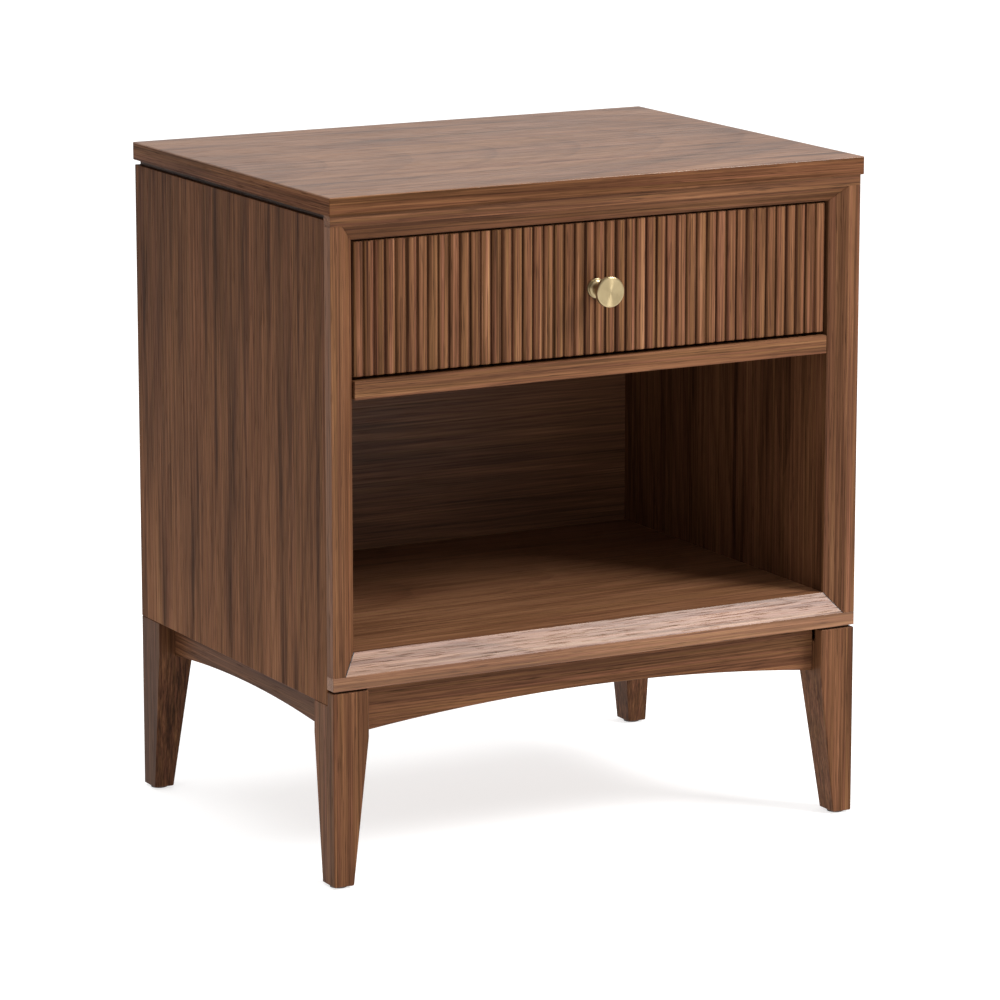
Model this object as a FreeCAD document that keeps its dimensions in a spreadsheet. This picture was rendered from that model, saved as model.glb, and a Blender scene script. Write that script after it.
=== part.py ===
"""Nightstand: a veneered case on a low leg base, an open compartment and one reeded drawer.

Millimetres, +Z up. The front faces -Y. The origin is on the floor, under the middle of the
whole piece, knob included. Every size and place is a formula of the sheet "dims", which holds
the driving dimensions.
"""

import FreeCAD, Part
import math
import os
import re
import Sketcher

DIMENSIONS = {
    # the whole piece
    "overall_height": 635.0,
    "case_width": 555.0,
    "case_depth": 416.0,
    "front_plane_y": -200.5,
    "top_thick": 17.0,
    "top_side_overhang": 2.0,
    "top_front_overhang": 3.0,
    "top_edge_round": 1.0,
    # side panels and the recessed strip that carries the top
    "side_thick": 27.0,
    "side_low_z": 170.7,
    "reveal_tall": 4.8,
    "reveal_deep": 4.0,
    "veneer_ease": 0.4,
    # face frame: a flat outer band and a bevel that falls inwards
    "frame_thick": 13.0,
    "stile_flat": 12.0,
    "top_rail_flat": 10.0,
    "top_rail_tall": 24.7,
    "bottom_rail_low_z": 185.3,
    "bottom_rail_flat": 12.5,
    "frame_ease": 0.25,
    # shelf, divider and back
    "shelf_top_z": 216.9,
    "shelf_thick": 18.0,
    "divider_low_z": 448.7,
    "divider_thick": 17.0,
    "lipping_setback": 10.3,
    "lipping_deep": 18.0,
    "lipping_gap": 1.6,
    "back_thick": 9.0,
    "back_inset": 16.5,
    "back_tongue": 6.0,
    "stretcher_deep": 50.0,
    "stretcher_thick": 18.0,
    # leg base
    "leg_wide": 36.0,
    "leg_deep": 40.0,
    "foot_wide": 20.0,
    "foot_deep": 25.0,
    "taper_top_z": 139.5,
    "leg_ease": 0.8,
    "spacer_tall": 2.2,
    "spacer_recess": 3.6,
    "apron_recess": 16.5,
    "apron_thick": 20.0,
    "front_arch_low_z": 140.8,
    "front_arch_rise": 14.6,
    "side_arch_low_z": 136.5,
    "side_arch_rise": 8.9,
    "apron_ease": 0.5,
    "cleat_wide": 25.5,
    "block_side": 50.0,
    "block_tall": 22.0,
    "block_screw_from_side": 8.0,
    "block_screw_from_end": 14.0,
    "glide_radius": 8.0,
    "glide_tall": 2.0,
    # drawer front and its reeds
    "drawer_front_low_z": 468.9,
    "drawer_front_tall": 122.5,
    "drawer_side_gap": 2.4,
    "drawer_front_thick": 20.0,
    "reed_count": 46,
    "reed_groove": 1.8,
    "reed_tall": 2.8,
    "reed_crown": 1.0,
    # drawer box
    "box_low_z": 478.0,
    "box_tall": 96.0,
    "box_deep": 320.0,
    "box_wall": 12.0,
    "bottom_thick": 6.0,
    "bottom_rise": 8.0,
    "groove_deep": 6.0,
    "groove_play": 0.1,
    # knob
    "knob_z": 530.4,
    "knob_out": 28.0,
    "knob_radius": 14.15,
    "knob_base_radius": 9.2,
    "knob_base_tall": 2.4,
    "knob_neck_radius": 5.4,
    "knob_rim_tall": 4.6,
    "knob_back_tall": 2.6,
    "knob_bore_deep": 14.0,
    "knob_flare_tall": 3.4,
    "knob_flare_radius": 4.6,
    "knob_edge_round": 1.2,
    # ball-bearing slides: three nested channels of sheet steel
    "slide_long": 300.0,
    "slide_front_y": -165.0,
    "slide_mid_z": 524.0,
    "slide_wide": 12.7,
    "slide_wall": 1.2,
    "outer_half_tall": 22.5,
    "middle_half_tall": 17.1,
    "inner_half_tall": 11.7,
    "channel_reach": 9.5,
    "middle_back": 2.0,
    "inner_lip": 4.2,
    "outer_cage_middle": 5.8,
    "inner_cage_middle": 6.9,
    "ball_radius": 2.0,
    "ball_count": 5,
    "ball_pitch": 26.0,
    "cage_front_y": -80.0,
    "cage_long": 130.0,
    "cage_wide": 6.4,
    "cage_thick": 0.8,
    "cage_play": 0.12,
    # screws and dowels
    "screw_radius": 2.0,
    "screw_head_radius": 4.0,
    "screw_head_tall": 2.0,
    "slide_head_tall": 0.6,
    "hole_play": 0.06,
    "hole_spare": 0.4,
    "dowel_radius": 4.0,
    "case_dowel_half": 14.0,
    "leg_dowel_half": 9.0,
}

CASE_X = "(case_width / 2)"
INNER_X = "(case_width / 2 - side_thick)"
FRONT_Y = "front_plane_y"
FRAME_BACK_Y = "(front_plane_y + frame_thick)"
BACK_Y = "(front_plane_y + case_depth)"
UNDER_TOP_Z = "(overall_height - top_thick)"
SIDE_TOP_Z = "(overall_height - top_thick - reveal_tall)"
RAIL_LIP_Z = "(bottom_rail_low_z + bottom_rail_flat)"
SHELF_LOW_Z = "(shelf_top_z - shelf_thick)"
DIVIDER_TOP_Z = "(divider_low_z + divider_thick)"
BACK_PANEL_REAR_Y = f"({BACK_Y} - back_inset)"
BACK_PANEL_FACE_Y = f"({BACK_Y} - back_inset - back_thick)"
STRETCHER_LOW_Z = f"({UNDER_TOP_Z} - stretcher_thick)"
LEG_IN_X = f"({CASE_X} - leg_wide)"
LEG_LOW_Z = "glide_tall"
APRON_OUT_X = f"({CASE_X} - apron_recess)"
APRON_IN_X = f"({CASE_X} - apron_recess - apron_thick)"
FRONT_APRON_Y = f"({FRONT_Y} + apron_recess)"
FRONT_APRON_BACK_Y = f"({FRONT_Y} + apron_recess + apron_thick)"
BACK_APRON_Y = f"({BACK_Y} - apron_recess - apron_thick)"
REED_Y = FRAME_BACK_Y
REED_ROOT_Y = f"({REED_Y} + reed_tall)"
DRAWER_REAR_Y = f"({REED_Y} + drawer_front_thick)"
DRAWER_X = f"({INNER_X} - drawer_side_gap)"
DRAWER_TOP_Z = "(drawer_front_low_z + drawer_front_tall)"
BOX_X = f"({INNER_X} - slide_wide)"
BOX_IN_X = f"({INNER_X} - slide_wide - box_wall)"
BOX_FACE_Y = f"({DRAWER_REAR_Y} + box_wall)"
BOX_REAR_Y = f"({DRAWER_REAR_Y} + box_deep)"
BOX_TOP_Z = "(box_low_z + box_tall)"
DRAWER_BOTTOM_Z = "(box_low_z + bottom_rise)"

SIDES = (("left", -1), ("right", 1))
ENDS = (("front", -1), ("back", 1))
# u axis, v axis, normal axis and the sign of the normal of each origin plane
PLANES = {"XY_Plane": (0, 1, 2, 1), "XZ_Plane": (0, 2, 1, -1), "YZ_Plane": (1, 2, 0, 1)}
WORD = re.compile(r"[a-z_]{3,}")

doc = FreeCAD.newDocument("nightstand")
sheet = doc.addObject("Spreadsheet::Sheet", "dims")
sub_parts = []


def fill_sheet():
    """Write each driving size as a plain number with its alias."""
    for row, (alias, size) in enumerate(DIMENSIONS.items(), start=1):
        sheet.set(f"A{row}", alias)
        sheet.set(f"B{row}", str(size))
        sheet.setAlias(f"B{row}", alias)
    doc.recompute()


def formula(text):
    """The text with each alias pointed at the sheet."""
    return WORD.sub(lambda word: "dims." + word.group(0), str(text))


def value(text):
    """The number that a formula gives now."""
    return float(sheet.evalExpression(formula(text)))


def bind(item, prop, text):
    """Tie a property to a formula."""
    item.setExpression(prop, formula(text))


def mirrored(sign, low, high):
    """The span from low to high on the right (sign 1), or the same span on the left."""
    if sign > 0:
        return (low, high)
    return (f"-({high})", f"-({low})")


def add_arc(sketch, start, end, radius, turn):
    """Add the short arc from start to end, anticlockwise if turn is 1, clockwise if -1."""
    first, last = (start, end) if turn > 0 else (end, start)
    chord = last - first
    left = FreeCAD.Vector(-chord.y, chord.x, 0).normalize()
    centre = (first + last) * 0.5 + left * math.sqrt(radius**2 - (chord.Length / 2) ** 2)
    begin = math.atan2(first.y - centre.y, first.x - centre.x)
    finish = math.atan2(last.y - centre.y, last.x - centre.x)
    circle = Part.Circle(centre, FreeCAD.Vector(0, 0, 1), radius)
    sketch.addGeometry(Part.ArcOfCircle(circle, begin, finish))


class Piece:
    """One body of the model, placed by its corner, with sketches given in the model's frame."""

    def __init__(self, label, corner=("0", "0", "0"), several=False):
        self.body = doc.addObject("PartDesign::Body", label)
        self.body.Label = label
        self.body.AllowCompound = several
        self.corner = corner
        for axis, text in zip("xyz", corner):
            bind(self.body, f"Placement.Base.{axis}", text)
        sub_parts.append(self.body)

    def sketch(self, plane, lift):
        """An empty sketch on an origin plane, lifted to a place on the plane's normal axis."""
        normal, sign = PLANES[plane][2:]
        sketch = self.body.newObject("Sketcher::SketchObject", "sketch")
        planes = [item for item in self.body.Origin.OriginFeatures if item.Role == plane]
        sketch.AttachmentSupport = (planes[0], [""])
        sketch.MapMode = "FlatFace"
        bind(sketch, "AttachmentOffset.Base.z", f"{sign} * (({lift}) - ({self.corner[normal]}))")
        return sketch

    def local(self, plane, point):
        """A point's two formulas, counted from the piece's corner."""
        axes = PLANES[plane][:2]
        return [f"({text}) - ({self.corner[axis]})" for axis, text in zip(axes, point)]

    def outline(self, plane, lift, points, arcs=None):
        """A closed outline. arcs gives, for the side after a point, its radius and its turn."""
        arcs = arcs or {}
        sketch = self.sketch(plane, lift)
        places = [self.local(plane, point) for point in points]
        corners = [FreeCAD.Vector(value(u), value(v), 0) for u, v in places]
        count = len(points)
        starts = []
        ends = []
        for index, corner in enumerate(corners):
            after = corners[(index + 1) % count]
            radius, turn = arcs.get(index, ("0", 1))
            if index in arcs:
                add_arc(sketch, corner, after, value(radius), turn)
            else:
                sketch.addGeometry(Part.LineSegment(corner, after))
            starts.append(1 if turn > 0 else 2)
            ends.append(2 if turn > 0 else 1)
        for index in range(count):
            after = (index + 1) % count
            joint = Sketcher.Constraint("Coincident", index, ends[index], after, starts[after])
            sketch.addConstraint(joint)
            fix_point(sketch, index, starts[index], places[index])
        for index, (radius, turn) in arcs.items():
            size = sketch.addConstraint(Sketcher.Constraint("Radius", index, value(radius)))
            bind(sketch, f"Constraints[{size}]", radius)
        return sketch

    def circles(self, plane, lift, centres, radius):
        """Equal circles at the given centres."""
        sketch = self.sketch(plane, lift)
        for centre in centres:
            place = self.local(plane, centre)
            middle = FreeCAD.Vector(value(place[0]), value(place[1]), 0)
            circle = Part.Circle(middle, FreeCAD.Vector(0, 0, 1), value(radius))
            index = sketch.addGeometry(circle)
            fix_point(sketch, index, 3, place)
            size = sketch.addConstraint(Sketcher.Constraint("Radius", index, value(radius)))
            bind(sketch, f"Constraints[{size}]", radius)
        return sketch

    def pad(self, plane, sketch, towards, length):
        """Grow the sketch along its normal axis, towards its high (1) or low (-1) end."""
        feature = self.body.newObject("PartDesign::Pad", "pad")
        feature.Profile = sketch
        feature.Reversed = towards * PLANES[plane][3] < 0
        bind(feature, "Length", length)
        return feature

    def pocket(self, plane, sketch, towards, length):
        """Cut the sketch along its normal axis, and make sure that it removes material."""
        doc.recompute()
        before = self.body.Shape.Volume
        feature = self.body.newObject("PartDesign::Pocket", "pocket")
        feature.Profile = sketch
        feature.Reversed = towards * PLANES[plane][3] > 0
        bind(feature, "Length", length)
        doc.recompute()
        if not self.body.Shape.Volume < before:
            raise RuntimeError(f"a pocket of {self.body.Label} cuts nothing")
        return feature

    def drill(self, plane, lift, towards, centres, radius, length):
        """Round holes from lift, towards one end of the plane's normal axis."""
        sketch = self.circles(plane, lift, centres, radius)
        return self.pocket(plane, sketch, towards, length)

    def ease(self, kind, size, spare=None):
        """Fillet or Chamfer every edge of what is there so far, but the one at the spare point."""
        base = self.body.Tip
        edges = [""]
        if spare:
            doc.recompute()
            local = [value(f"({text}) - ({start})") for text, start in zip(spare, self.corner)]
            point = Part.Vertex(*local)
            reach = [edge.distToShape(point)[0] for edge in base.Shape.Edges]
            edges = [f"Edge{number}" for number, gap in enumerate(reach, start=1) if gap > 0.01]
        feature = self.body.newObject(f"PartDesign::{kind}", "ease")
        feature.Base = (base, edges)
        feature.UseAllEdges = not spare
        bind(feature, "Radius" if kind == "Fillet" else "Size", size)
        return feature


def fix_point(sketch, index, position, place):
    """Hold one point of a sketch by its two distances from the sketch's origin."""
    for kind, text in zip(("DistanceX", "DistanceY"), place):
        rule = Sketcher.Constraint(kind, -1, 1, index, position, value(text))
        number = sketch.addConstraint(rule)
        bind(sketch, f"Constraints[{number}]", text)


def slab(label, x, y, z, ease=None):
    """A rectangular piece between its (low, high) pairs, with its edges eased if asked."""
    piece = Piece(label, (x[0], y[0], z[0]))
    points = [(x[0], y[0]), (x[1], y[0]), (x[1], y[1]), (x[0], y[1])]
    sketch = piece.outline("XY_Plane", z[0], points)
    piece.pad("XY_Plane", sketch, 1, f"({z[1]}) - ({z[0]})")
    if ease:
        piece.ease(*ease)
    return piece


def add_screws(piece, plane, lift, towards, centres, length, head="screw_head_tall"):
    """Screws with their heads on the lift plane and their shanks towards the given end."""
    heads = piece.circles(plane, lift, centres, "screw_head_radius")
    piece.pad(plane, heads, -towards, head)
    shanks = piece.circles(plane, lift, centres, "screw_radius")
    piece.pad(plane, shanks, towards, length)


SCREW_HOLE = "(screw_radius + hole_play)"
DOWEL_HOLE = "(dowel_radius + hole_play)"
CASE_DOWEL_HOLE_DEEP = "(case_dowel_half + hole_spare)"
LEG_DOWEL_HOLE_DEEP = "(leg_dowel_half + hole_spare)"
# case dowels, as (Y, Z) places on both inner faces of the sides
SHELF_DOWELS = [(y, f"({SHELF_LOW_Z} + shelf_thick / 2)") for y in ("-150", "160")]
DIVIDER_DOWELS = [(y, "(divider_low_z + divider_thick / 2)") for y in ("-140", "160")]
STRETCHER_DOWEL_Z = f"({STRETCHER_LOW_Z} + 6.5)"
STRETCHER_DOWEL_REACH = (12, 38)
FRONT_STRETCHER_DOWELS = [
    (f"({FRAME_BACK_Y} + {reach})", STRETCHER_DOWEL_Z) for reach in STRETCHER_DOWEL_REACH
]
BACK_STRETCHER_DOWELS = [
    (f"({BACK_PANEL_FACE_Y} - {reach})", STRETCHER_DOWEL_Z) for reach in STRETCHER_DOWEL_REACH
]
CASE_DOWELS = SHELF_DOWELS + DIVIDER_DOWELS + FRONT_STRETCHER_DOWELS + BACK_STRETCHER_DOWELS
LONG_DOWEL_Z = ("149", "163")
SIDE_DOWEL_Z = ("146", "161")
TOP_SCREW_X = ("-200", "0", "200")
TOP_SCREW_GRIP = 11.0
SLIDE_SCREW_Y = ("-150", "-20", "110")
SLIDE_SCREW_GRIP = 14.0
BOX_SCREW_GRIP = 9.0
SLIDE_SCREWS = [(y, "slide_mid_z") for y in SLIDE_SCREW_Y]
DRAWER_SCREWS = [(x, z) for x in ("-180", "180") for z in ("505", "555")]
DRAWER_SCREW_LONG = 24.0
KNOB_SCREW_LONG = 45.0
BASE_SCREW_LONG = 38.0


def build_top():
    """The top, with blind pilot holes for the screws that come up through the stretchers."""
    half = f"({CASE_X} + top_side_overhang)"
    front = f"({FRONT_Y} - top_front_overhang)"
    height = (UNDER_TOP_Z, "overall_height")
    round_edges = ("Fillet", "top_edge_round")
    top = slab("top_panel", (f"-{half}", half), (front, BACK_Y), height, round_edges)
    grip = f"{TOP_SCREW_GRIP} + hole_spare"
    top.drill("XY_Plane", UNDER_TOP_Z, 1, top_screw_places(), SCREW_HOLE, grip)


def top_screw_places():
    """The (X, Y) places of the screws along the middle of both stretchers."""
    rows = (f"({FRAME_BACK_Y} + stretcher_deep / 2)", f"({BACK_PANEL_FACE_Y} - stretcher_deep / 2)")
    return [(x, y) for y in rows for x in TOP_SCREW_X]


def build_sides():
    """Side panels with a groove for the back and holes for dowels and slide screws."""
    for side, sign in SIDES:
        x = mirrored(sign, INNER_X, CASE_X)
        inner = f"{sign} * {INNER_X}"
        panel = slab(
            f"side_panel_{side}",
            x,
            (FRAME_BACK_Y, BACK_Y),
            ("side_low_z", SIDE_TOP_Z),
            ("Chamfer", "veneer_ease"),
        )
        groove_x = (inner, f"{sign} * ({INNER_X} + back_tongue + groove_play)")
        groove_y = (f"{BACK_PANEL_FACE_Y} - groove_play", f"{BACK_PANEL_REAR_Y} + groove_play")
        points = [(groove_x[i], groove_y[j]) for i, j in ((0, 0), (1, 0), (1, 1), (0, 1))]
        groove = panel.outline("XY_Plane", SHELF_LOW_Z, points)
        panel.pocket("XY_Plane", groove, 1, f"{SIDE_TOP_Z} - {SHELF_LOW_Z}")
        panel.drill("YZ_Plane", inner, sign, CASE_DOWELS, DOWEL_HOLE, CASE_DOWEL_HOLE_DEEP)
        grip = f"{SLIDE_SCREW_GRIP} + hole_spare"
        panel.drill("YZ_Plane", inner, sign, SLIDE_SCREWS, SCREW_HOLE, grip)
        strip_x = f"({INNER_X} + back_tongue + groove_play)"
        slab(
            f"reveal_strip_{side}",
            mirrored(sign, strip_x, f"({CASE_X} - reveal_deep)"),
            (FRAME_BACK_Y, f"({BACK_Y} - reveal_deep)"),
            (SIDE_TOP_Z, UNDER_TOP_Z),
        )


def build_case_boards():
    """Shelf, divider with its lipping, back panel and the two stretchers under the top."""
    width = (f"-{INNER_X}", INNER_X)
    shelf_y = (FRAME_BACK_Y, BACK_PANEL_FACE_Y)
    shelf = slab("shelf_panel", width, shelf_y, (SHELF_LOW_Z, "shelf_top_z"))
    drill_ends(shelf, SHELF_DOWELS)
    lipping_y = f"({FRONT_Y} + lipping_setback)"
    divider_y = f"({FRONT_Y} + lipping_setback + lipping_deep)"
    lipping_x = f"({INNER_X} - lipping_gap)"
    divider_z = ("divider_low_z", DIVIDER_TOP_Z)
    ease = ("Chamfer", "veneer_ease")
    slab("divider_lipping", (f"-{lipping_x}", lipping_x), (lipping_y, divider_y), divider_z, ease)
    divider = slab("divider_panel", width, (divider_y, BACK_PANEL_FACE_Y), divider_z)
    drill_ends(divider, DIVIDER_DOWELS)
    tongue_x = f"({INNER_X} + back_tongue)"
    back_y = (BACK_PANEL_FACE_Y, BACK_PANEL_REAR_Y)
    slab("back_panel", (f"-{tongue_x}", tongue_x), back_y, (SHELF_LOW_Z, UNDER_TOP_Z))
    spans = {
        "front": (FRAME_BACK_Y, f"({FRAME_BACK_Y} + stretcher_deep)"),
        "back": (f"({BACK_PANEL_FACE_Y} - stretcher_deep)", BACK_PANEL_FACE_Y),
    }
    dowels = {"front": FRONT_STRETCHER_DOWELS, "back": BACK_STRETCHER_DOWELS}
    for row, (end, sign) in enumerate(ENDS):
        stretcher = slab(f"top_stretcher_{end}", width, spans[end], (STRETCHER_LOW_Z, UNDER_TOP_Z))
        drill_ends(stretcher, dowels[end])
        centres = top_screw_places()[row * len(TOP_SCREW_X) : (row + 1) * len(TOP_SCREW_X)]
        stretcher.drill("XY_Plane", STRETCHER_LOW_Z, 1, centres, SCREW_HOLE, "stretcher_thick")


def drill_ends(board, places):
    """Dowel holes in both ends of a board that runs between the sides."""
    for sign in (-1, 1):
        end = f"{sign} * {INNER_X}"
        board.drill("YZ_Plane", end, -sign, places, DOWEL_HOLE, CASE_DOWEL_HOLE_DEEP)


def bevel(piece, plane, lift, length, flat, inner, sign):
    """Plane the slope off a frame member: front edge at flat, rear edge at inner.

    sign is the side of the slope on which the waste lies.
    """
    waste = f"({inner}) + {sign}"
    outside = f"{FRONT_Y} - 1"
    points = [(flat, FRONT_Y), (flat, outside), (waste, outside), (waste, FRAME_BACK_Y)]
    points.append((inner, FRAME_BACK_Y))
    if plane == "YZ_Plane":
        points = [(y, z) for z, y in points]
    sketch = piece.outline(plane, lift, points)
    piece.pocket(plane, sketch, 1, length)


def build_face_frame():
    """Two stiles and two rails, each with a bevel, mitred where the bevels meet."""
    flat_x = f"({CASE_X} - stile_flat)"
    top_flat_z = f"({UNDER_TOP_Z} - top_rail_flat)"
    top_low_z = f"({UNDER_TOP_Z} - top_rail_tall)"
    stile_tall = f"{top_flat_z} - {RAIL_LIP_Z}"
    for side, sign in SIDES:
        stile = Piece(f"frame_stile_{side}", ("0", FRONT_Y, RAIL_LIP_Z))
        outer, flat, inner = (f"{sign} * {place}" for place in (CASE_X, flat_x, INNER_X))
        points = [(outer, RAIL_LIP_Z), (flat, RAIL_LIP_Z), (inner, "shelf_top_z")]
        points += [(inner, top_low_z), (flat, top_flat_z), (outer, top_flat_z)]
        sketch = stile.outline("XZ_Plane", FRONT_Y, points)
        stile.pad("XZ_Plane", sketch, 1, "frame_thick")
        bevel(stile, "XY_Plane", RAIL_LIP_Z, stile_tall, flat, inner, -sign)
        stile.ease("Chamfer", "frame_ease")
    rails = (
        ("frame_top_rail", UNDER_TOP_Z, top_flat_z, top_low_z, -1),
        ("frame_bottom_rail", "bottom_rail_low_z", RAIL_LIP_Z, "shelf_top_z", 1),
    )
    for label, outer, flat, inner, sign in rails:
        rail = Piece(label, (f"-{CASE_X}", FRONT_Y, outer))
        right = [(CASE_X, outer), (CASE_X, flat), (flat_x, flat), (INNER_X, inner)]
        left = [(f"-{x}", z) for x, z in reversed(right)]
        sketch = rail.outline("XZ_Plane", FRONT_Y, right + left)
        rail.pad("XZ_Plane", sketch, 1, "frame_thick")
        bevel(rail, "YZ_Plane", f"-{CASE_X}", "case_width", flat, inner, sign)
        rail.ease("Chamfer", "frame_ease")


def build_legs():
    """Four legs, plumb on their outer faces and tapered on both inner faces.

    Each front leg has a tongue that rises in front of the side panel, under the face frame.
    """
    tongue_top = "(bottom_rail_low_z - spacer_tall)"
    for end, end_sign in ENDS:
        outer_y = BACK_Y if end == "back" else FRONT_Y
        foot_y = f"{outer_y} - {end_sign} * foot_deep"
        inner_y = f"{outer_y} - {end_sign} * leg_deep"
        points = [(outer_y, LEG_LOW_Z), (foot_y, LEG_LOW_Z), (inner_y, "taper_top_z")]
        points.append((inner_y, "side_low_z"))
        if end == "front":
            points += [(FRAME_BACK_Y, "side_low_z"), (FRAME_BACK_Y, tongue_top)]
            points.append((outer_y, tongue_top))
        else:
            points.append((outer_y, "side_low_z"))
        for side, sign in SIDES:
            x = mirrored(sign, LEG_IN_X, CASE_X)
            leg = Piece(f"leg_{end}_{side}", (x[0], outer_y, LEG_LOW_Z))
            leg.pad("YZ_Plane", leg.outline("YZ_Plane", x[0], points), 1, "leg_wide")
            foot_x = f"{sign} * ({CASE_X} - foot_wide)"
            inner_x = f"{sign} * {LEG_IN_X}"
            waste = [(inner_x, "taper_top_z"), (inner_x, LEG_LOW_Z), (foot_x, LEG_LOW_Z)]
            cut = leg.outline("XZ_Plane", outer_y, waste)
            leg.pocket("XZ_Plane", cut, -end_sign, "leg_deep")
            middle = (f"{x[0]} + leg_wide / 2", FRAME_BACK_Y, "side_low_z")
            inside = middle if end == "front" else None
            leg.ease("Chamfer", "leg_ease", inside)
            drill_leg(leg, sign, end_sign, inner_y)
    for side, sign in SIDES:
        slab(
            f"leg_spacer_{side}",
            mirrored(sign, LEG_IN_X, f"({CASE_X} - spacer_recess)"),
            (f"({FRONT_Y} + spacer_recess)", FRAME_BACK_Y),
            (tongue_top, "bottom_rail_low_z"),
        )


def drill_leg(leg, sign, end_sign, inner_y):
    """Dowel holes for the two aprons that meet a leg."""
    apron_y = FRONT_APRON_Y if end_sign < 0 else BACK_APRON_Y
    long_places = [(f"({apron_y} + apron_thick / 2)", z) for z in LONG_DOWEL_Z]
    inner_x = f"{sign} * {LEG_IN_X}"
    leg.drill("YZ_Plane", inner_x, sign, long_places, DOWEL_HOLE, LEG_DOWEL_HOLE_DEEP)
    side_places = [(f"{sign} * ({APRON_IN_X} + apron_thick / 2)", z) for z in SIDE_DOWEL_Z]
    leg.drill("XZ_Plane", inner_y, end_sign, side_places, DOWEL_HOLE, LEG_DOWEL_HOLE_DEEP)


def arch_radius(half, rise):
    """The radius of an arch from half its span and its rise."""
    return f"((({half})^2 + ({rise})^2) / (2 * {rise}))"


def build_aprons():
    """Four aprons with a shallow arch, dowelled between the legs."""
    radius = arch_radius(LEG_IN_X, "front_arch_rise")
    for end, face_y in (("front", FRONT_APRON_Y), ("back", BACK_APRON_Y)):
        apron = Piece(f"apron_{end}", ("0", face_y, "front_arch_low_z"))
        points = [(f"-{LEG_IN_X}", "front_arch_low_z"), (LEG_IN_X, "front_arch_low_z")]
        points += [(LEG_IN_X, SHELF_LOW_Z), (f"-{LEG_IN_X}", SHELF_LOW_Z)]
        sketch = apron.outline("XZ_Plane", face_y, points, {0: (radius, -1)})
        apron.pad("XZ_Plane", sketch, 1, "apron_thick")
        apron.ease("Chamfer", "apron_ease")
        places = [(f"({face_y} + apron_thick / 2)", z) for z in LONG_DOWEL_Z]
        for sign in (-1, 1):
            end_x = f"{sign} * {LEG_IN_X}"
            apron.drill("YZ_Plane", end_x, -sign, places, DOWEL_HOLE, LEG_DOWEL_HOLE_DEEP)
    front = f"({FRONT_Y} + leg_deep)"
    back = f"({BACK_Y} - leg_deep)"
    radius = arch_radius(f"({back} - {front}) / 2", "side_arch_rise")
    for side, sign in SIDES:
        x = mirrored(sign, APRON_IN_X, APRON_OUT_X)
        apron = Piece(f"apron_{side}", (x[0], "0", "side_arch_low_z"))
        points = [(front, "side_arch_low_z"), (back, "side_arch_low_z")]
        points += [(back, "side_low_z"), (front, "side_low_z")]
        sketch = apron.outline("YZ_Plane", x[0], points, {0: (radius, -1)})
        apron.pad("YZ_Plane", sketch, 1, "apron_thick")
        apron.ease("Chamfer", "apron_ease")
        places = [(f"{sign} * ({APRON_IN_X} + apron_thick / 2)", z) for z in SIDE_DOWEL_Z]
        apron.drill("XZ_Plane", front, 1, places, DOWEL_HOLE, LEG_DOWEL_HOLE_DEEP)
        apron.drill("XZ_Plane", back, -1, places, DOWEL_HOLE, LEG_DOWEL_HOLE_DEEP)


def block_corner(sign, end_sign):
    """The (X, Y) corner between two aprons, where a corner block sits."""
    y = FRONT_APRON_BACK_Y if end_sign < 0 else BACK_APRON_Y
    return f"{sign} * {APRON_IN_X}", y


def base_screw_place(sign, end_sign):
    """The (X, Y) place of the screw that rises through a corner block into its cleat."""
    x, y = block_corner(sign, end_sign)
    return f"{x} - {sign} * block_screw_from_side", f"{y} - {end_sign} * block_screw_from_end"


def build_base_joinery():
    """Cleats under the shelf, triangular corner blocks and the glides under the feet."""
    for side, sign in SIDES:
        cleat = slab(
            f"shelf_cleat_{side}",
            mirrored(sign, f"({INNER_X} - cleat_wide)", INNER_X),
            (FRONT_APRON_BACK_Y, BACK_APRON_Y),
            ("side_low_z", SHELF_LOW_Z),
        )
        places = [base_screw_place(sign, end_sign) for end_sign in (-1, 1)]
        grip = f"{BASE_SCREW_LONG} - block_tall + hole_spare"
        cleat.drill("XY_Plane", "side_low_z", 1, places, SCREW_HOLE, grip)
    low_z = "(side_low_z - block_tall)"
    for end, end_sign in ENDS:
        for side, sign in SIDES:
            x, y = block_corner(sign, end_sign)
            block = Piece(f"corner_block_{end}_{side}", (x, y, low_z))
            points = [(x, y), (f"{x} - {sign} * block_side", y), (x, f"{y} - {end_sign} * block_side")]
            block.pad("XY_Plane", block.outline("XY_Plane", low_z, points), 1, "block_tall")
            places = [base_screw_place(sign, end_sign)]
            block.drill("XY_Plane", low_z, 1, places, SCREW_HOLE, "block_tall")
    glides = Piece("foot_glides", several=True)
    centres = []
    for sign in (-1, 1):
        x = f"{sign} * ({CASE_X} - foot_wide / 2)"
        centres += [(x, f"{FRONT_Y} + foot_deep / 2"), (x, f"{BACK_Y} - foot_deep / 2")]
    sketch = glides.circles("XY_Plane", "0", centres, "glide_radius")
    glides.pad("XY_Plane", sketch, 1, "glide_tall")


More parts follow.
